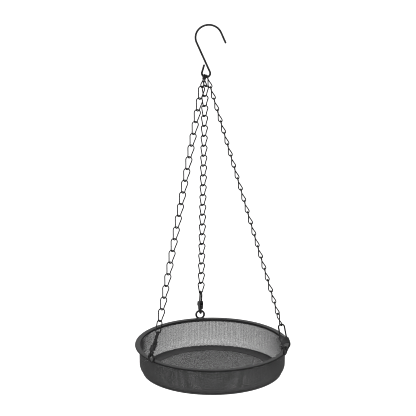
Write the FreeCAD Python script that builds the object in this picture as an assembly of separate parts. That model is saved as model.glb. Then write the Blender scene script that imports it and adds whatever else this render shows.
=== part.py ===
import FreeCAD, Part
import math
import os
from FreeCAD import Placement, Rotation, Vector

# Hanging tray feeder: an S hook, three chains of twisted wire links, a snap clasp and a welded
# ring at the foot of each chain, and a round tray of expanded steel mesh with a rolled rim.
# Millimetres. The origin is the centre of the tray's underside, +Z is up, and the hook lies in
# the XZ plane.

# Tray: overall size and the curve of its wall
rim_radius = 150.0
rim_flange = 8.0
tray_height = 56.0
mesh_thickness = 1.2
wall_taper = 0.4
corner_radius = 19.5
corner_start = 17.5

# Rolled rim
rim_sheet = 0.9
rim_bead_radius = 1.7
rim_skirt = 5.0
rim_edge_round = 0.6
groove_fit = 0.12

# Crimped base band
band_height = 8.5
band_inner_height = 5.0
band_sheet = 0.9
band_grip = 5.5
band_foot = 1.0
band_shoe = 2.9
floor_lip = 14.5
floor_fit = 0.1

# Diamond gaps of the mesh, drawn larger than the real ones
wall_gap_columns = 40
wall_gap_rows = 3
wall_gap_margin = 1.5
wall_strand = 3.2
floor_gap_pitch_x = 29.5
floor_gap_pitch_y = 24.0
floor_strand = 4.0
floor_gap_border = 4.0
strand_slant = 1.4
strand_bevel = 0.5

# Rings welded to the outside of the rim's bead
ring_wire = 3.8
ring_outer_diameter = 19.5
ring_weld_depth = 0.8
ring_azimuths = {"back": 99.0, "left": 219.0, "right": 339.0}

# Chain links
links_per_chain = 22
link_wire = 2.3
link_pitch = 23.34
link_top_width = 11.8
link_bottom_width = 9.5
link_twist = 50.0
link_leg_bend = 6.0
link_play = 0.2

# S hook, and where the chains sit on its lower bow
hook_wire = 3.9
hook_offset_x = -12.0
bow_radius = 8.0
crown_radius = 25.5
crown_above_bow = 72.2
crown_beside_bow = 5.4
free_leg_lean = 15.8
free_leg_length = 14.5
tip_lean = 22.8
tip_length = 21.8
hook_play = 0.7
bow_seats = {"back": -15.0, "left": -56.0, "right": 26.0}

# Turn of the first, the middle and the last links about their chain, from the hook's plane
link_turns = {"back": (76.0, -5.0, -5.0), "left": (76.0, -5.0, -38.0), "right": (90.0, 90.0, 68.0)}

# How far each clasp's eye stands off the straight line of its chain, in X
eye_shifts = {"back": 1.0, "left": 5.0, "right": 4.3}

# Snap clasp: its place, its wires and its lever's pin
clasp_turns = {"back": 105.0, "left": -108.0, "right": 0.0}
clasp_reach = 46.0
ring_play = 0.5
eye_wire = 3.0
eye_half_width = 5.7
eye_root = 2.0
claw_wire = 3.6
claw_nose_radius = 7.0
claw_nose = 1.1
claw_back_radius = 9.8
claw_back_lean = 10.0
claw_root = 4.0
pivot_x = -4.5
pivot_above_nose = 12.7
pin_radius = 1.1
pin_fit_body = 0.02
pin_fit_lever = 0.06
pin_head_radius = 1.9
pin_head_height = 0.5

# Clasp body: the block between eye and claw, and the slot in it
body_thickness = 7.0
body_edge_round = 0.7
block_corner_round = 1.5
block_cheek_round = 6.0
block_cheek = 8.0
block_top_left = 11.2
block_top_right = 5.0
block_collar = 0.7
block_saddle_fall = 1.0
block_shoulder_fall = 3.2
block_foot_above_claw = 4.2
block_foot_inset = 1.4
slot_mouth_above_pivot = 6.2
slot_roof_above_pivot = 7.0
slot_roof_end = 7.7
slot_back = 9.1
slot_back_below_pivot = 2.0
slot_overrun = 6.0

# Clasp lever: thumb tab, boss, heel and arm
lever_thickness = 2.8
lever_side_play = 0.25
lever_boss_radius = 3.0
lever_seat_gap = 0.3
lever_overlap = 2.3
lever_tip_width = 2.7
lever_shoulder = 0.9
lever_heel = 4.7
lever_thumb_reach = 6.2
lever_thumb_rise = 4.3
lever_round_small = 0.4
lever_round_large = 1.2

# Clasp spring: a folded leaf
spring_sheet = 0.4
spring_width = 2.4
spring_play = 0.2
spring_fold = 6.6
spring_upper_start = 1.6
spring_lower_start = 2.2


def revolve_profile(edges):
    """A closed profile in the XZ plane, turned once about Z."""
    face = Part.Face(Part.Wire(Part.sortEdges(edges)[0]))
    return face.revolve(Vector(0, 0, 0), Vector(0, 0, 1), 360)


def rounded_outline(corners):
    """A closed outline in the XZ plane from (x, z, corner radius) triples."""
    count = len(corners)
    points = [Vector(x, 0, z) for x, z, radius in corners]
    starts = []
    ends = []
    edges = []
    for index, (x, z, radius) in enumerate(corners):
        here = points[index]
        back = (points[index - 1] - here).normalize()
        ahead = (points[(index + 1) % count] - here).normalize()
        if radius == 0:
            starts.append(here)
            ends.append(here)
            continue
        half = back.getAngle(ahead) / 2
        reach = radius / math.tan(half)
        first = here + back * reach
        last = here + ahead * reach
        middle_way = (back + ahead).normalize()
        centre = here + middle_way * (radius / math.sin(half))
        edges.append(Part.Arc(first, centre - middle_way * radius, last).toShape())
        starts.append(first)
        ends.append(last)
    for index in range(count):
        following = starts[(index + 1) % count]
        if ends[index].distanceToPoint(following) > 1e-6:
            edges.append(Part.LineSegment(ends[index], following).toShape())
    return edges


def plate(corners, thickness):
    """An outline in the XZ plane, given a thickness centred on y = 0."""
    wire = Part.Wire(Part.sortEdges(rounded_outline(corners))[0])
    face = Part.Face(wire)
    face.translate(Vector(0, -thickness / 2, 0))
    solid = face.extrude(Vector(0, thickness, 0))
    return solid


def round_wire(edges, start, direction, diameter):
    """Round wire swept along edges that follow each other from start."""
    section = Part.Wire([Part.makeCircle(diameter / 2, start, direction)])
    return Part.Wire(edges).makePipeShell([section], True, True)


def arc(centre, radius, first_angle, last_angle):
    """An arc in the XZ plane, its angles in degrees from +X towards +Z."""
    def point(angle):
        turn = math.radians(angle)
        return centre + Vector(radius * math.cos(turn), 0, radius * math.sin(turn))
    middle = (first_angle + last_angle) / 2
    return Part.Arc(point(first_angle), point(middle), point(last_angle)).toShape()


# Tray wall: a strip of mesh, nearly upright, that curves in at the bottom
wall_radius = rim_radius - rim_flange
corner_centre = Vector(wall_radius - wall_taper - corner_radius, 0, corner_start)
wall_top = tray_height - rim_sheet - groove_fit
wall_knee = tray_height - rim_sheet - rim_skirt - groove_fit
wall_bottom = band_height - band_grip
band_outer = corner_radius + groove_fit + band_sheet
band_inner = corner_radius - mesh_thickness - groove_fit - band_sheet


def on_corner(radius, height):
    """The point of the wall's bottom curve at a height, for a curve of the given radius."""
    reach = math.sqrt(radius ** 2 - (corner_start - height) ** 2)
    return Vector(corner_centre.x + reach, 0, height)


def corner_arc(radius, high, low):
    first = on_corner(radius, high)
    last = on_corner(radius, low)
    middle = on_corner(radius, (high + low) / 2)
    return Part.Arc(first, middle, last).toShape()


def wall_shell(outer_offset, inner_offset, top, bottom):
    """The wall's shell between two offsets from its outer face, upright inside the rim."""
    outer = corner_radius + outer_offset
    inner = corner_radius + inner_offset
    outer_top = Vector(wall_radius + outer_offset, 0, top)
    inner_top = Vector(wall_radius + inner_offset, 0, top)
    outer_knee = Vector(outer_top.x, 0, wall_knee)
    inner_knee = Vector(inner_top.x, 0, wall_knee)
    outer_arc = corner_arc(outer, corner_start, bottom)
    inner_arc = corner_arc(inner, corner_start, bottom)
    return revolve_profile([
        Part.LineSegment(outer_top, outer_knee).toShape(),
        Part.LineSegment(outer_knee, on_corner(outer, corner_start)).toShape(),
        outer_arc,
        Part.LineSegment(on_corner(outer, bottom), on_corner(inner, bottom)).toShape(),
        inner_arc,
        Part.LineSegment(on_corner(inner, corner_start), inner_knee).toShape(),
        Part.LineSegment(inner_knee, inner_top).toShape(),
        Part.LineSegment(inner_top, outer_top).toShape(),
    ])


def diamond(centre, across, along, half_width, half_height):
    return Part.makePolygon([
        centre + across * half_width,
        centre + along * half_height,
        centre - across * half_width,
        centre - along * half_height,
        centre + across * half_width,
    ])


def diamond_cutter(narrow_centre, wide_centre, across, along, half_width, half_height):
    """A diamond hole whose sides slope, so that the strands beside it stand up as ridges."""
    slope = 1 + strand_bevel / half_height
    narrow = diamond(narrow_centre, across, along, half_width, half_height)
    wide = diamond(wide_centre, across, along, half_width * slope, half_height * slope)
    return Part.makeLoft([narrow, wide], True, True)


def tray_wall():
    shell = wall_shell(0, -mesh_thickness, wall_top, wall_bottom)
    low = band_height + wall_gap_margin
    high = tray_height - rim_sheet - rim_skirt - wall_gap_margin
    pitch_height = 2 * (high - low) / (wall_gap_rows + 1)
    pitch_width = 2 * math.pi * wall_radius / wall_gap_columns
    half_width = (pitch_width - wall_strand * strand_slant) / 2
    half_height = (pitch_height - wall_strand * strand_slant) / 2
    inside = corner_centre.x
    outside = wall_radius + mesh_thickness
    cutters = []
    for row in range(wall_gap_rows):
        height = low + pitch_height * (row + 1) / 2
        for column in range(wall_gap_columns):
            turn = 2 * math.pi * (column + (row % 2) / 2) / wall_gap_columns
            outward = Vector(math.cos(turn), math.sin(turn), 0)
            across = Vector(-math.sin(turn), math.cos(turn), 0)
            inner = outward * inside + Vector(0, 0, height)
            outer = outward * outside + Vector(0, 0, height)
            cutters.append(diamond_cutter(inner, outer, across, Vector(0, 0, 1), half_width, half_height))
    return shell.cut(cutters)


# Tray floor: a disc of mesh inside the foot of the base band
band_heel = on_corner(band_outer, band_foot).x - band_foot
floor_radius = band_heel - band_shoe - floor_fit


def tray_floor():
    disc = Part.makeCylinder(floor_radius, mesh_thickness)
    half_width = (floor_gap_pitch_x - floor_strand * strand_slant) / 2
    half_height = (floor_gap_pitch_y - floor_strand * strand_slant) / 2
    limit = floor_radius - floor_lip - floor_gap_border
    steps = math.ceil(floor_radius / min(floor_gap_pitch_x, floor_gap_pitch_y))
    cutters = []
    for row in range(-2 * steps, 2 * steps + 1):
        for column in range(-steps, steps + 1):
            x = floor_gap_pitch_x * (column + 0.5 + (row % 2) / 2)
            y = floor_gap_pitch_y * row / 2
            furthest = max(math.hypot(abs(x) + half_width, y), math.hypot(x, abs(y) + half_height))
            if furthest > limit:
                continue
            under = Vector(x, y, -mesh_thickness)
            over = Vector(x, y, 2 * mesh_thickness)
            cutters.append(diamond_cutter(under, over, Vector(1, 0, 0), Vector(0, 1, 0),
                                          half_width, half_height))
    return disc.cut(cutters)


def rim_bead():
    """The curled outer edge of the rim."""
    bead = Part.makeTorus(rim_radius - rim_bead_radius, rim_bead_radius)
    bead.translate(Vector(0, 0, tray_height - rim_bead_radius))
    return bead


def tray_rim():
    """A rolled hoop: a skirt folded over the mesh, a flat flange and a curled outer edge."""
    mesh_inner = wall_radius - mesh_thickness - groove_fit
    mesh_outer = wall_radius + groove_fit
    inside = mesh_inner - rim_sheet
    outside = mesh_outer + rim_sheet
    under_flange = tray_height - rim_sheet
    skirt_end = under_flange - rim_skirt
    bead_centre = rim_radius - rim_bead_radius
    folded = revolve_profile(rounded_outline([
        (inside, tray_height, rim_edge_round),
        (bead_centre, tray_height, 0),
        (bead_centre, under_flange, 0),
        (outside, under_flange, rim_edge_round),
        (outside, skirt_end, 0),
        (mesh_outer, skirt_end, 0),
        (mesh_outer, under_flange, 0),
        (mesh_inner, under_flange, 0),
        (mesh_inner, skirt_end, 0),
        (inside, skirt_end, 0),
    ]))
    return folded.fuse(rim_bead())


def base_band():
    """A crimped ring: two leaves grip the wall, and a lip inside holds down the floor's edge."""
    rebate = floor_radius + floor_fit
    ledge = mesh_thickness + floor_fit
    lip_top = ledge + band_sheet
    lip_edge = floor_radius - floor_lip
    foot = on_corner(band_outer, band_foot)
    heel = Vector(band_heel, 0, 0)
    lip_root = on_corner(band_inner, lip_top)
    corners = [
        heel,
        Vector(rebate, 0, 0),
        Vector(rebate, 0, ledge),
        Vector(lip_edge, 0, ledge),
        Vector(lip_edge, 0, lip_top),
        lip_root,
    ]
    edges = [Part.LineSegment(a, b).toShape() for a, b in zip(corners, corners[1:])]
    edges.append(corner_arc(band_inner, lip_top, band_inner_height))
    edges.append(Part.LineSegment(on_corner(band_inner, band_inner_height),
                                  on_corner(band_outer, band_height)).toShape())
    edges.append(corner_arc(band_outer, band_height, band_foot))
    edges.append(Part.LineSegment(foot, heel).toShape())
    ring = revolve_profile(edges)
    groove = wall_shell(groove_fit, -mesh_thickness - groove_fit, wall_top, wall_bottom - groove_fit)
    return ring.cut(groove)


# Rim rings: each stands outside the bead, its weld a small hollow at the bottom
ring_radius = (ring_outer_diameter - ring_wire) / 2
ring_seat_radius = rim_radius + ring_wire / 2 - ring_weld_depth
ring_centre_height = tray_height - rim_bead_radius + ring_radius


def outward_at(azimuth):
    turn = math.radians(azimuth)
    return Vector(math.cos(turn), math.sin(turn), 0)


def ring_top(azimuth):
    """The centre of the ring's wire where the clasp hangs on it."""
    return outward_at(azimuth) * ring_seat_radius + Vector(0, 0, ring_centre_height + ring_radius)


def rim_ring(azimuth):
    outward = outward_at(azimuth)
    centre = outward * ring_seat_radius + Vector(0, 0, ring_centre_height)
    ring = Part.makeTorus(ring_radius, ring_wire / 2, centre, outward)
    return ring.cut(rim_bead())


# Where each chain starts on the hook's bow, and how high the hook is when the chains are taut
seat_radius = bow_radius - hook_wire / 2 - hook_play - link_wire / 2
taut_length = link_wire / 2 + links_per_chain * link_pitch + clasp_reach - ring_wire / 2


def seat_offset(side):
    """The first link's top bow, from the centre of the hook's bow."""
    turn = math.radians(bow_seats[side])
    return Vector(math.sin(turn), 0, -math.cos(turn)) * seat_radius


def bow_height_for(side):
    """The height of the bow's centre at which one chain would be taut."""
    foot = ring_top(ring_azimuths[side])
    seat = seat_offset(side)
    across = math.hypot(hook_offset_x + seat.x - foot.x, foot.y)
    return foot.z + math.sqrt(taut_length ** 2 - across ** 2) - seat.z


bow_centre = Vector(hook_offset_x, 0, min(bow_height_for(side) for side in ring_azimuths))


def placement_along(up, base, turn):
    """Local Z runs along up, and local X is turned about it from the hook's plane."""
    right = (Vector(1, 0, 0) - up * up.x).normalize()
    away = up.cross(right)
    angle = math.radians(turn)
    x_axis = right * math.cos(angle) + away * math.sin(angle)
    y_axis = up.cross(x_axis)
    return Placement(base, Rotation(x_axis, y_axis, up, "ZXY"))


class ChainLine:
    """One chain in a straight line from the hook to its clasp, which leans on its rim ring."""

    def __init__(self, side):
        seat = bow_centre + seat_offset(side)
        foot = ring_top(ring_azimuths[side])
        straight = (seat - foot).normalize()
        self.first_contact = seat - straight * ((link_wire + link_play) / 2)
        self.clasp_up = (straight * clasp_reach + Vector(eye_shifts[side], 0, 0)).normalize()
        ring_contact = foot - self.clasp_up * ((ring_wire + ring_play) / 2)
        self.eye_contact = ring_contact + self.clasp_up * clasp_reach
        self.chain_up = (self.first_contact - self.eye_contact).normalize()
        self.spacing = self.first_contact.distanceToPoint(self.eye_contact) / links_per_chain

    def link_placement(self, index, turn):
        middle = self.first_contact - self.chain_up * (self.spacing * (index + 0.5))
        return placement_along(self.chain_up, middle, turn)


lines = {side: ChainLine(side) for side in ring_azimuths}


def leg_edges(top, bottom):
    """One side of a link: upright at both bows, with two bends and a straight between them."""
    drop = top.z - bottom.z
    across = Vector(bottom.x - top.x, bottom.y - top.y, 0)
    shift = across.Length
    across.normalize()
    down = Vector(0, 0, -1)
    slope = math.atan2(shift, drop)
    for refinement in range(20):
        straight = (drop - 2 * link_leg_bend * math.sin(slope)) / math.cos(slope)
        error = 2 * link_leg_bend * (1 - math.cos(slope)) + straight * math.sin(slope) - shift
        slope -= error / drop
    bend_across = link_leg_bend * (1 - math.cos(slope))
    bend_down = link_leg_bend * math.sin(slope)
    half_across = link_leg_bend * (1 - math.cos(slope / 2))
    half_down = link_leg_bend * math.sin(slope / 2)
    leaves = top + across * bend_across + down * bend_down
    meets = bottom - across * bend_across - down * bend_down
    return [
        Part.Arc(top, top + across * half_across + down * half_down, leaves).toShape(),
        Part.LineSegment(leaves, meets).toShape(),
        Part.Arc(meets, bottom - across * half_across - down * half_down, bottom).toShape(),
    ]


def chain_link():
    """A wire link, its bottom bow turned from its top bow by the twist, centred on the origin."""
    half_length = (link_pitch + link_wire + link_play) / 2
    top_centre = Vector(0, 0, half_length - link_top_width / 2)
    bottom_centre = Vector(0, 0, link_bottom_width / 2 - half_length)
    twist = math.radians(link_twist)
    top_reach = Vector(link_top_width / 2, 0, 0)
    bottom_reach = Vector(math.cos(twist), math.sin(twist), 0) * (link_bottom_width / 2)
    top_bow = Part.Arc(top_centre - top_reach, Vector(0, 0, half_length), top_centre + top_reach).toShape()
    bottom_bow = Part.Arc(bottom_centre + bottom_reach, Vector(0, 0, -half_length),
                          bottom_centre - bottom_reach).toShape()
    right_leg = leg_edges(top_centre + top_reach, bottom_centre + bottom_reach)
    left_leg = leg_edges(top_centre - top_reach, bottom_centre - bottom_reach)
    upper = round_wire([top_bow] + right_leg, top_centre - top_reach, Vector(0, 0, 1), link_wire)
    lower = round_wire([bottom_bow] + left_leg[::-1], bottom_centre + bottom_reach,
                       Vector(0, 0, -1), link_wire)
    return upper.fuse(lower).Solids[0]


def chain(side):
    line = lines[side]
    first_turn, middle_turn, last_turn = link_turns[side]
    link = chain_link()
    links = []
    for index in range(links_per_chain):
        turn = middle_turn
        if index == 0:
            turn = first_turn
        elif index == links_per_chain - 1:
            turn = last_turn
        placed = link.copy()
        placed.Placement = line.link_placement(index, turn)
        links.append(placed)
    return Part.makeCompound(links)


def s_hook():
    """One bent wire: free leg, lower bow, leaning shank, crown and free tip."""
    crown_centre = bow_centre + Vector(crown_beside_bow, 0, crown_above_bow)
    between = math.hypot(crown_beside_bow, crown_above_bow)
    crossing = math.degrees(math.asin((bow_radius + crown_radius) / between))
    shank_lean = crossing - math.degrees(math.atan2(crown_beside_bow, crown_above_bow))
    free_side = arc(bow_centre, bow_radius, 180 - free_leg_lean, 360 + shank_lean)
    crown = arc(crown_centre, crown_radius, 180 + shank_lean, tip_lean)
    bow_start = free_side.valueAt(free_side.FirstParameter)
    lean = math.radians(free_leg_lean)
    free_end = bow_start + Vector(math.sin(lean), 0, math.cos(lean)) * free_leg_length
    tip_start = crown.valueAt(crown.LastParameter)
    lean = math.radians(tip_lean)
    tip_end = tip_start + Vector(math.sin(lean), 0, -math.cos(lean)) * tip_length
    shank = Part.LineSegment(free_side.valueAt(free_side.LastParameter),
                             crown.valueAt(crown.FirstParameter)).toShape()
    path = [
        Part.LineSegment(free_end, bow_start).toShape(),
        free_side,
        shank,
        crown,
        Part.LineSegment(tip_start, tip_end).toShape(),
    ]
    wire = round_wire(path, free_end, bow_start - free_end, hook_wire)
    ends = [Part.makeSphere(hook_wire / 2, end) for end in (free_end, tip_end)]
    return wire.fuse(ends).removeSplitter()


# Snap clasp, in its own frame: the origin is where the last link bears on the eye, X points away
# from the tray's middle, and Z runs up the chain
eye_top = (eye_wire + link_play) / 2
eye_centre_z = eye_top - eye_half_width
claw_bottom = -clasp_reach - (claw_wire + ring_play) / 2
nose_centre_z = claw_bottom + claw_nose_radius
nose_inner_x = claw_wire / 2 - claw_nose_radius
pivot_z = nose_centre_z + pivot_above_nose
block_bottom = nose_centre_z + block_foot_above_claw
top_left = pivot_z + block_top_left
top_right = pivot_z + block_top_right


def clasp_wires():
    """The eye and the claw of the clasp."""
    eye_centre = Vector(0, 0, eye_centre_z)
    left_end = Vector(-eye_half_width, 0, top_left - eye_root)
    right_end = Vector(eye_half_width, 0, top_right - eye_root)
    eye = round_wire([
        Part.LineSegment(left_end, Vector(-eye_half_width, 0, eye_centre_z)).toShape(),
        arc(eye_centre, eye_half_width, 180, 0),
        Part.LineSegment(Vector(eye_half_width, 0, eye_centre_z), right_end).toShape(),
    ], left_end, Vector(0, 0, 1), eye_wire)
    back = arc(Vector(0, 0, claw_bottom + claw_back_radius), claw_back_radius, claw_back_lean, -90)
    back_start = back.valueAt(back.FirstParameter)
    lean = math.radians(claw_back_lean)
    root = back_start + Vector(-math.sin(lean), 0, math.cos(lean)) * claw_root
    nose_start = Vector(-claw_nose_radius, 0, nose_centre_z)
    claw = round_wire([
        Part.LineSegment(root, back_start).toShape(),
        back,
        arc(Vector(0, 0, nose_centre_z), claw_nose_radius, -90, -180),
        Part.LineSegment(nose_start, nose_start + Vector(0, 0, claw_nose)).toShape(),
    ], root, back_start - root, claw_wire)
    return eye, claw


def block_back(height):
    """The block's back edge, which runs on from the leaning back of the claw."""
    lean = math.radians(claw_back_lean)
    reach = claw_back_radius + claw_wire / 2
    above = height - (claw_bottom + claw_back_radius + reach * math.sin(lean))
    return reach * math.cos(lean) - above * math.tan(lean)


def clasp_body():
    """A cast body: eye, slotted block for the lever, and the claw that hangs on the rim ring."""
    eye, claw = clasp_wires()
    neck = eye_half_width + eye_wire / 2
    wire_inside = eye_half_width - eye_wire / 2 - block_collar
    shoulder = top_right - block_saddle_fall - block_shoulder_fall
    block = plate([
        (-neck, top_left, block_corner_round),
        (-wire_inside, top_left - block_saddle_fall, block_corner_round),
        (wire_inside, top_right - block_saddle_fall, block_corner_round),
        (neck + block_collar, top_right - 2 * block_saddle_fall, block_corner_round),
        (block_back(shoulder), shoulder, block_corner_round),
        (block_back(block_bottom), block_bottom, block_corner_round),
        (block_foot_inset - block_cheek, block_bottom, block_corner_round),
        (-block_cheek, pivot_z + block_corner_round, block_cheek_round),
    ], body_thickness)
    outline = [edge for edge in block.Edges if abs(edge.CenterOfMass.y) > body_thickness * 0.49]
    block = block.makeFillet(body_edge_round, outline)
    slot_floor = block_bottom - slot_overrun
    slot = plate([
        (-block_cheek - slot_overrun, pivot_z + slot_mouth_above_pivot, 0),
        (pivot_x, pivot_z + slot_roof_above_pivot, 0),
        (pivot_x + slot_roof_end, pivot_z + 1, 0),
        (pivot_x + slot_back, pivot_z - slot_back_below_pivot, 0),
        (pivot_x + slot_back, slot_floor, 0),
        (-block_cheek - slot_overrun, slot_floor, 0),
    ], lever_thickness + 2 * lever_side_play)
    hole = Part.makeCylinder(pin_radius + pin_fit_body, 2 * body_thickness,
                             Vector(pivot_x, -body_thickness, pivot_z), Vector(0, 1, 0))
    return block.cut([slot, hole]).fuse([eye, claw]).removeSplitter()


def clasp_lever():
    """The lever that closes the mouth: thumb tab, boss on the pin, heel and arm."""
    arm_outer = nose_inner_x + lever_seat_gap
    arm_inner = arm_outer + lever_tip_width
    arm_tip = nose_centre_z + claw_nose - lever_overlap
    step = nose_centre_z + claw_nose + 2 * lever_seat_gap
    boss = lever_boss_radius
    boss_top = pivot_z + boss - lever_round_small
    heel_under = pivot_z - boss / 2
    thumb_x = pivot_x - lever_thumb_reach
    thumb_z = pivot_z + lever_thumb_rise
    lever = plate([
        (pivot_x - boss, pivot_z - lever_round_large, lever_round_small),
        (arm_outer - lever_shoulder, step + lever_shoulder, lever_round_small),
        (arm_outer, step, lever_round_small),
        (arm_outer, arm_tip, lever_round_small),
        (arm_inner, arm_tip, lever_round_large),
        (arm_inner + lever_shoulder, pivot_z - boss, lever_round_large),
        (pivot_x + lever_heel, heel_under, lever_round_small),
        (pivot_x + lever_heel, pivot_z, lever_round_small),
        (pivot_x + lever_shoulder, boss_top, lever_round_large),
        (pivot_x - 2 * lever_shoulder, boss_top, lever_round_large),
        (thumb_x + lever_shoulder, thumb_z, lever_round_small),
        (thumb_x, thumb_z - lever_shoulder, lever_round_small),
        (thumb_x + lever_round_large, pivot_z + boss / 2, lever_round_large),
    ], lever_thickness)
    hole = Part.makeCylinder(pin_radius + pin_fit_lever, 2 * lever_thickness,
                             Vector(pivot_x, -lever_thickness, pivot_z), Vector(0, 1, 0))
    return lever.cut(hole)


def clasp_pin():
    """A rivet across the slot, with a low head outside each cheek."""
    length = body_thickness + 2 * pin_head_height
    start = Vector(pivot_x, -length / 2, pivot_z)
    shaft = Part.makeCylinder(pin_radius, length, start, Vector(0, 1, 0))
    near_seat = Vector(pivot_x, -body_thickness / 2, pivot_z)
    far_seat = Vector(pivot_x, body_thickness / 2, pivot_z)
    near = Part.makeCone(pin_head_radius, pin_radius, pin_head_height, near_seat, Vector(0, -1, 0))
    far = Part.makeCone(pin_head_radius, pin_radius, pin_head_height, far_seat, Vector(0, 1, 0))
    return shaft.fuse([near, far]).removeSplitter()


def clasp_spring():
    """A folded leaf between the slot's roof and the lever's heel, which it pushes down."""
    roof_slope = (slot_roof_above_pivot - 1) / slot_roof_end
    boss_top = lever_boss_radius - lever_round_small
    heel_slope = boss_top / (lever_heel - lever_shoulder)
    upper_x = pivot_x + spring_upper_start
    upper_z = pivot_z + slot_roof_above_pivot - spring_upper_start * roof_slope - spring_play
    lower_x = pivot_x + spring_lower_start
    lower_z = pivot_z + boss_top - (spring_lower_start - lever_shoulder) * heel_slope + spring_play
    fold_x = pivot_x + spring_fold
    fold_z = upper_z - (spring_fold - spring_upper_start) * roof_slope
    return plate([
        (upper_x, upper_z, 0),
        (fold_x, fold_z, 0),
        (fold_x, fold_z - spring_sheet, 0),
        (lower_x, lower_z, 0),
        (lower_x, lower_z + spring_sheet, 0),
        (fold_x - 3 * spring_sheet, fold_z + spring_sheet, 0),
        (upper_x, upper_z - spring_sheet, 0),
    ], spring_width)


def place_clasp(shape, side):
    line = lines[side]
    placed = shape.copy()
    placed.Placement = placement_along(line.clasp_up, line.eye_contact, clasp_turns[side])
    return placed


def build():
    nodes = {
        "s_hook": s_hook(),
        "rim_band": tray_rim(),
        "wall_mesh": tray_wall(),
        "base_band": base_band(),
        "floor_mesh": tray_floor(),
    }
    clasp_pieces = {
        "clasp_body": clasp_body(),
        "clasp_lever": clasp_lever(),
        "clasp_pin": clasp_pin(),
        "clasp_spring": clasp_spring(),
    }
    for side, azimuth in ring_azimuths.items():
        nodes["rim_ring_" + side] = rim_ring(azimuth)
        nodes["chain_" + side] = chain(side)
        for name, shape in clasp_pieces.items():
            nodes[name + "_" + side] = place_clasp(shape, side)
    return nodes


os.makedirs("parts", exist_ok=True)
for name, shape in build().items():
    shape.exportStep("parts/" + name + ".step")
    print(name, len(shape.Solids), "solids", round(shape.Volume, 2), "mm3", shape.isValid())
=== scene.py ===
import math

import bmesh
import bpy
from mathutils import Matrix, Vector


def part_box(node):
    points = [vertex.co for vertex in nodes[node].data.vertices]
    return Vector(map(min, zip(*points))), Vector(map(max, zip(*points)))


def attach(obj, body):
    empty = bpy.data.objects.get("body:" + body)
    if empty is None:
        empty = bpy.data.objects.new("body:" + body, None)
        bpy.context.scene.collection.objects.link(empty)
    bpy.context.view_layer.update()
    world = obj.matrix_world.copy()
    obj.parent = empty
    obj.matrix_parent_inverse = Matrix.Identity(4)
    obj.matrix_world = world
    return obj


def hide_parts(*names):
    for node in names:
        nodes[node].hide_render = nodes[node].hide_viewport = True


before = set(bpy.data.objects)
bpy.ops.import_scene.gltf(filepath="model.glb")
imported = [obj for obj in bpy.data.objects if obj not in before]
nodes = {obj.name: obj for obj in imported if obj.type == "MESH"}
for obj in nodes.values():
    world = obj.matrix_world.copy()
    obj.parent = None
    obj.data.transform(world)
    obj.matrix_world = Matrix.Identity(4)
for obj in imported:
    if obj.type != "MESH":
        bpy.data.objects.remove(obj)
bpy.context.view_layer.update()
scene = bpy.context.scene


# Tray floor
# A disc of expanded steel: thin sheet, slit and stretched into diamonds with narrow strands between
# them, and powder coated black. Its edge lies under the base band's lip.
diamond_long = 0.0028
diamond_short = 0.0021
floor_strand = 0.00056
floor_depth = 0.00032
crossing_offset = 0.00003


def black_coat(name, colour, patch_size, roughness, shine, pebble_size, pebble_depth, wear=0.0):
    """Satin black powder coat, baked on and slightly pebbled.

    Dust and handling change its grey and its sheen in patches, and wear rubs its edges greyer.
    """
    darkest = 0.8
    lightest = 1.3
    sheen_change = 0.07
    material = bpy.data.materials.new(name)
    material.use_nodes = True
    tree = material.node_tree
    shader = tree.nodes["Principled BSDF"]
    shader.inputs["Specular IOR Level"].default_value = shine
    place = tree.nodes.new("ShaderNodeTexCoord")

    patches = tree.nodes.new("ShaderNodeTexNoise")
    patches.inputs["Scale"].default_value = 1 / patch_size
    patches.inputs["Detail"].default_value = 5
    patches.inputs["Roughness"].default_value = 0.6
    tree.links.new(place.outputs["Object"], patches.inputs["Vector"])

    shade = tree.nodes.new("ShaderNodeValToRGB")
    shade.color_ramp.elements[0].position = 0.35
    shade.color_ramp.elements[0].color = (*[c * darkest for c in colour], 1)
    shade.color_ramp.elements[1].position = 0.68
    shade.color_ramp.elements[1].color = (*[c * lightest for c in colour], 1)
    tree.links.new(patches.outputs["Fac"], shade.inputs["Fac"])
    colour_out = shade.outputs["Color"]

    if wear > 0:
        edges = tree.nodes.new("ShaderNodeNewGeometry")
        worn = tree.nodes.new("ShaderNodeMapRange")
        worn.inputs["From Min"].default_value = 0.53
        worn.inputs["From Max"].default_value = 0.62
        worn.inputs["To Max"].default_value = wear
        tree.links.new(edges.outputs["Pointiness"], worn.inputs["Value"])
        rub = tree.nodes.new("ShaderNodeMix")
        rub.data_type = "RGBA"
        rub.inputs["B"].default_value = (0.16, 0.16, 0.165, 1)
        tree.links.new(worn.outputs["Result"], rub.inputs["Factor"])
        tree.links.new(colour_out, rub.inputs["A"])
        colour_out = rub.outputs["Result"]
    tree.links.new(colour_out, shader.inputs["Base Color"])

    sheen = tree.nodes.new("ShaderNodeMapRange")
    sheen.inputs["To Min"].default_value = roughness - sheen_change
    sheen.inputs["To Max"].default_value = roughness + sheen_change
    tree.links.new(patches.outputs["Fac"], sheen.inputs["Value"])
    tree.links.new(sheen.outputs["Result"], shader.inputs["Roughness"])

    pebbles = tree.nodes.new("ShaderNodeTexNoise")
    pebbles.inputs["Scale"].default_value = 1 / pebble_size
    pebbles.inputs["Detail"].default_value = 2
    tree.links.new(place.outputs["Object"], pebbles.inputs["Vector"])
    bump = tree.nodes.new("ShaderNodeBump")
    bump.inputs["Strength"].default_value = 0.35
    bump.inputs["Distance"].default_value = pebble_depth
    tree.links.new(pebbles.outputs["Fac"], bump.inputs["Height"])
    tree.links.new(bump.outputs["Normal"], shader.inputs["Normal"])
    return material


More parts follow.
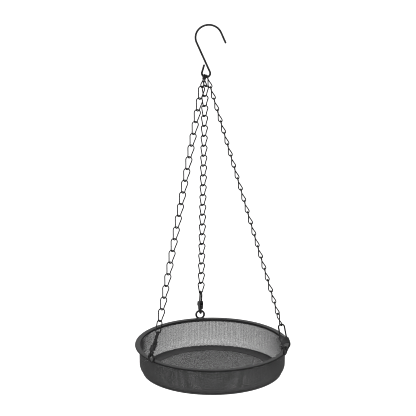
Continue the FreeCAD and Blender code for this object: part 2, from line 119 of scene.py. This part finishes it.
def finish_mesh(name, bm, material, body, node):
    """Turns a bmesh into a smooth-shaded piece that stands for one CAD node."""
    bmesh.ops.recalc_face_normals(bm, faces=bm.faces)
    for face in bm.faces:
        face.smooth = True
    data = bpy.data.meshes.new(name)
    bm.to_mesh(data)
    bm.free()
    data.materials.append(material)
    piece = bpy.data.objects.new(name, data)
    scene.collection.objects.link(piece)
    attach(piece, body)
    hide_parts(node)


mesh_coat = black_coat("mesh_coat", (0.036, 0.036, 0.0365), patch_size=0.03, roughness=0.5,
                       shine=0.4, pebble_size=0.0004, pebble_depth=0.00003)

floor_low, floor_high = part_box("floor_mesh")
floor_radius = floor_high.x
floor_middle = (floor_low.z + floor_high.z) / 2
strand_slope = math.atan2(diamond_short, diamond_long)
strand_spacing = diamond_short * math.cos(strand_slope)

bm = bmesh.new()
for family in (-1, 1):
    turn = Matrix.Rotation(family * strand_slope, 4, "Z")
    count = math.floor(floor_radius / strand_spacing)
    for number in range(-count, count + 1):
        distance = number * strand_spacing
        reach = math.sqrt(floor_radius ** 2 - distance ** 2) - floor_strand
        if reach < 2 * diamond_long:
            continue
        place = Matrix.Translation((0, distance, floor_middle + family * crossing_offset))
        size = Matrix.Diagonal((2 * reach, floor_strand, floor_depth, 1))
        bmesh.ops.create_cube(bm, size=1, matrix=turn @ place @ size)
finish_mesh("floor_strands", bm, mesh_coat, "feeder", "floor_mesh")


# Tray wall
# One strip of the same expanded steel, rolled into a hoop and drawn in at the bottom, so that its
# edge runs down into the base band. Each strand climbs round the wall on a slant, and is drawn
# thinner towards the bottom.
wall_low, wall_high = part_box("wall_mesh")
wall_radius = wall_high.x
wall_taper = 0.0004
wall_corner_radius = 0.0195
wall_corner_start = 0.0175
wall_strand_low = 0.0007
wall_strand_high = 0.00081
wall_depth = 0.00032
strand_inset = 0.0006
strand_steps = 12

corner_middle = wall_radius - wall_taper - wall_corner_radius
curve = wall_corner_radius - strand_inset
lowest_turn = math.asin((wall_corner_start - wall_low.z) / curve)
curve_length = curve * lowest_turn
upright_length = wall_high.z - wall_corner_start
wall_length = curve_length + upright_length
diamonds_round = round(math.tau * wall_radius / diamond_long)


def on_wall(step, family):
    """A strand's point at a step of its climb from the wall's lower edge, and the way out of the wall."""
    distance = wall_length * step / strand_steps
    if distance < curve_length:
        lean = lowest_turn - distance / curve
        radius = corner_middle + curve * math.cos(lean)
        height = wall_corner_start - curve * math.sin(lean)
    else:
        climb = distance - curve_length
        lean = 0.0
        radius = corner_middle + curve + wall_taper * climb / upright_length
        height = wall_corner_start + climb
    radius += family * crossing_offset
    azimuth = math.tau * family * distance / diamond_short / diamonds_round
    ray = Vector((math.cos(azimuth), math.sin(azimuth), 0))
    point = ray * radius + Vector((0, 0, height))
    outward = ray * math.cos(lean) - Vector((0, 0, math.sin(lean)))
    return point, outward


def strand_section(step, family):
    """The matrix that lays a unit square across a strand of the wall at one step of its climb."""
    point, outward = on_wall(step, family)
    behind = on_wall(max(step - 1, 0), family)[0]
    ahead = on_wall(min(step + 1, strand_steps), family)[0]
    along = (ahead - behind).normalized()
    across = outward.cross(along).normalized()
    width = wall_strand_low + (wall_strand_high - wall_strand_low) * step / strand_steps
    turn = Matrix((across * width, outward * wall_depth, along)).transposed()
    return Matrix.Translation(point) @ turn.to_4x4()


bm = bmesh.new()
for family in (-1, 1):
    here = strand_section(0, family)
    foot = bmesh.ops.create_grid(bm, x_segments=1, y_segments=1, size=0.5, matrix=here)
    end = foot["verts"][0].link_faces[0]
    for step in range(1, strand_steps + 1):
        ahead = strand_section(step, family)
        grown = bmesh.ops.extrude_face_region(bm, geom=[end, *end.edges])["geom"]
        end = next(part for part in grown if isinstance(part, bmesh.types.BMFace))
        bmesh.ops.transform(bm, matrix=ahead @ here.inverted(), verts=end.verts[:])
        here = ahead
bmesh.ops.spin(bm, geom=bm.verts[:] + bm.edges[:] + bm.faces[:], cent=(0, 0, 0), axis=(0, 0, 1),
               angle=math.tau * (diamonds_round - 1) / diamonds_round, steps=diamonds_round - 1,
               use_duplicate=True)
finish_mesh("wall_strands", bm, mesh_coat, "feeder", "wall_mesh")


# Base band
# One steel ring that joins the wall to the floor: its rolled seam grips the wall's lower edge, and a
# flat lip runs inwards over the edge of the floor.
base_coat = black_coat("base_coat", (0.04, 0.04, 0.041), patch_size=0.04, roughness=0.45,
                       shine=0.3, pebble_size=0.0006, pebble_depth=0.00004)
sheet_thickness = 0.0009
seam_radius = 0.0018
seam_middle = 0.1336
lip_underside = 0.0013
lip_width = 0.0188
roll_steps = 24
ring_steps = 288
sharp_edge = math.radians(35)


def bend(middle, height, radius, first, last, steps):
    """Points of a bend in a sheet's section, from one angle to another, in degrees."""
    points = []
    for step in range(steps + 1):
        turn = math.radians(first + (last - first) * step / steps)
        points.append((middle + radius * math.cos(turn), height + radius * math.sin(turn)))
    return points


def rolled_ring(name, section, material, node):
    """Spins a closed section of radius and height about the tray's axis into one steel ring."""
    bm = bmesh.new()
    corners = [bm.verts.new((radius, 0, height)) for radius, height in section]
    edges = [bm.edges.new((corners[index - 1], corners[index])) for index in range(len(corners))]
    bmesh.ops.spin(bm, geom=corners + edges, cent=(0, 0, 0), axis=(0, 0, 1), angle=math.tau,
                   steps=ring_steps, use_merge=True)
    for edge in bm.edges:
        edge.smooth = edge.calc_face_angle(0) < sharp_edge
    finish_mesh(name, bm, material, "feeder", node)


lip_top = lip_underside + sheet_thickness
lip_edge = floor_radius - lip_width
top_root = 180 + math.degrees(math.asin((seam_radius - lip_top) / seam_radius))
low_root = -180 + math.degrees(math.asin((seam_radius - lip_underside) / seam_radius))
section = bend(seam_middle, seam_radius, seam_radius, top_root, low_root, roll_steps)
section += [(lip_edge, lip_underside), (lip_edge, lip_top)]
rolled_ring("base_ring", section, base_coat, "base_band")


# Rim
# One rolled steel hoop folded over the top of the wall, with a short skirt inside, a longer one
# outside, a flat flange and a curled edge.
rim_coat = black_coat("rim_coat", (0.016, 0.016, 0.0165), patch_size=0.04, roughness=0.5,
                      shine=0.12, pebble_size=0.0006, pebble_depth=0.00004)
rim_low, rim_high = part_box("rim_band")
bead_radius = 0.0017
mesh_thickness = 0.0012
fold_gap = 0.00012
inner_skirt = 0.0024
edge_round = 0.0006
edge_steps = 4

under_flange = rim_high.z - sheet_thickness
bead_middle = rim_high.x - bead_radius
fold_outside = wall_radius + fold_gap
fold_inside = wall_radius - mesh_thickness - fold_gap
rim_inside = fold_inside - sheet_thickness
rim_outside = fold_outside + sheet_thickness
bead_root = -180 - math.degrees(math.asin((bead_radius - sheet_thickness) / bead_radius))
section = bend(rim_inside + edge_round, rim_high.z - edge_round, edge_round, 180, 90, edge_steps)
section += bend(bead_middle, rim_high.z - bead_radius, bead_radius, 90, bead_root, roll_steps)
section += [
    (rim_outside, under_flange),
    (rim_outside, rim_low.z),
    (fold_outside, rim_low.z),
    (fold_outside, under_flange),
    (fold_inside, under_flange),
    (fold_inside, rim_high.z - inner_skirt),
    (rim_inside, rim_high.z - inner_skirt),
]
rolled_ring("rim_hoop", section, rim_coat, "rim_band")


# Rim rings and snap clasps
# Three wire rings are welded to the rim. A die-cast clasp hooks into each, its lever turning on a
# rivet under a small steel spring.
clasp_coat = black_coat("clasp_coat", (0.014, 0.014, 0.0145), patch_size=0.008, roughness=0.36,
                        shine=0.2, pebble_size=0.0005, pebble_depth=0.00004, wear=0.25)
wire_coat = black_coat("wire_coat", (0.012, 0.012, 0.0125), patch_size=0.012, roughness=0.34,
                       shine=0.2, pebble_size=0.0004, pebble_depth=0.00002)
dark_steel = black_coat("dark_steel", (0.06, 0.06, 0.062), patch_size=0.004, roughness=0.3,
                        shine=0.3, pebble_size=0.0003, pebble_depth=0.00001)


def coat_nodes(material, *names):
    """Gives CAD nodes one material, on every slot that they have."""
    for name in names:
        piece = nodes[name]
        piece.data.materials.clear()
        piece.data.materials.append(material)


for side in ("back", "left", "right"):
    coat_nodes(wire_coat, "rim_ring_" + side)
    coat_nodes(clasp_coat, "clasp_body_" + side, "clasp_lever_" + side)
    coat_nodes(dark_steel, "clasp_pin_" + side, "clasp_spring_" + side)


# Chains and hook
# Each chain is welded wire links, every one twisted. The hook is one bent wire, and all three
# chains hang in its lower bend. Both have the same coat as the rings.
coat_nodes(wire_coat, "chain_back", "chain_left", "chain_right", "s_hook")


# Floor of the studio
# A plain pale floor well below the feeder, which hangs above it. To the camera it glows white, and
# it still catches a faint shadow.
floor_drop = 1.0
floor_size = 40.0
bpy.ops.mesh.primitive_plane_add(size=floor_size, location=(0, 0, -floor_drop))
studio_floor = bpy.context.object
studio_floor.name = "studio_floor"
floor_paint = bpy.data.materials.new("floor_paint")
floor_paint.use_nodes = True
tree = floor_paint.node_tree
paint = tree.nodes["Principled BSDF"]
paint.inputs["Base Color"].default_value = (0.4, 0.4, 0.4, 1)
paint.inputs["Roughness"].default_value = 0.9
glow = tree.nodes.new("ShaderNodeEmission")
glow.inputs["Strength"].default_value = 0.95
path = tree.nodes.new("ShaderNodeLightPath")
dark = tree.nodes.new("ShaderNodeEmission")
dark.inputs["Strength"].default_value = 0.0
lit = tree.nodes.new("ShaderNodeMixShader")
tree.links.new(path.outputs["Is Camera Ray"], lit.inputs["Fac"])
tree.links.new(dark.outputs["Emission"], lit.inputs[1])
tree.links.new(glow.outputs["Emission"], lit.inputs[2])
both = tree.nodes.new("ShaderNodeAddShader")
tree.links.new(paint.outputs["BSDF"], both.inputs[0])
tree.links.new(lit.outputs["Shader"], both.inputs[1])
tree.links.new(both.outputs["Shader"], tree.nodes["Material Output"].inputs["Surface"])
studio_floor.data.materials.append(floor_paint)


# Studio light
# A white room that lights softly, a large soft box high on the left, weaker ones on the right and
# behind, and a low one in front. The camera, reflections and clear parts see the room as pure white.
world = bpy.data.worlds.new("studio")
scene.world = world
world.use_nodes = True
tree = world.node_tree
soft = tree.nodes["Background"]
soft.inputs["Color"].default_value = (1, 1, 1, 1)
soft.inputs["Strength"].default_value = 0.55
white = tree.nodes.new("ShaderNodeBackground")
white.inputs["Color"].default_value = (1, 1, 1, 1)
white.inputs["Strength"].default_value = 1.0
path = tree.nodes.new("ShaderNodeLightPath")
direct = tree.nodes.new("ShaderNodeMath")
direct.operation = "MAXIMUM"
tree.links.new(path.outputs["Is Camera Ray"], direct.inputs[0])
tree.links.new(path.outputs["Is Glossy Ray"], direct.inputs[1])
through = tree.nodes.new("ShaderNodeMath")
through.operation = "MAXIMUM"
tree.links.new(direct.outputs["Value"], through.inputs[0])
tree.links.new(path.outputs["Is Transmission Ray"], through.inputs[1])
room = tree.nodes.new("ShaderNodeMixShader")
tree.links.new(through.outputs["Value"], room.inputs["Fac"])
tree.links.new(soft.outputs["Background"], room.inputs[1])
tree.links.new(white.outputs["Background"], room.inputs[2])
tree.links.new(room.outputs["Shader"], tree.nodes["World Output"].inputs["Surface"])


def soft_box(name, place, aim, size, power):
    """A square area light, its size in metres and its power in watts, turned to what it lights."""
    light = bpy.data.lights.new(name, "AREA")
    light.size = size
    light.energy = power
    lamp = bpy.data.objects.new(name, light)
    lamp.location = place
    lamp.rotation_euler = (Vector(aim) - Vector(place)).to_track_quat("-Z", "Y").to_euler()
    scene.collection.objects.link(lamp)


tray_middle = (0, 0, 0.05)
soft_box("key", (-1.4, -1.6, 2.2), tray_middle, size=1.6, power=22)
soft_box("fill", (2.0, -1.2, 1.2), tray_middle, size=1.8, power=9)
soft_box("back", (0.3, 2.2, 1.6), tray_middle, size=1.6, power=10)
soft_box("front", (0.0, -2.4, 0.5), tray_middle, size=1.2, power=15)


# Camera
# It stands far off and looks down on the feeder from the front, as the photograph does. Its pixel
# filter is narrower than usual, so that the thin wires stay dark.
camera_elevation = math.radians(19.28)
camera_distance = 15.0
camera_right = -0.0082
camera_up = 0.2636
camera_lens = 668.6
camera_sensor = 36.0
camera_range = 100.0
pixel_filter = 1.1
camera_data = bpy.data.cameras.new("camera")
camera_data.sensor_width = camera_sensor
camera_data.lens = camera_lens
camera_data.clip_end = camera_range
camera = bpy.data.objects.new("camera", camera_data)
look = Vector((0, math.cos(camera_elevation), -math.sin(camera_elevation)))
lift = Vector((0, math.sin(camera_elevation), math.cos(camera_elevation)))
camera.location = Vector((camera_right, 0, rim_high.z)) - look * camera_distance + lift * camera_up
camera.rotation_euler = (math.pi / 2 - camera_elevation, 0, 0)
scene.collection.objects.link(camera)
scene.camera = camera
scene.view_settings.view_transform = "Standard"
scene.cycles.filter_width = pixel_filter
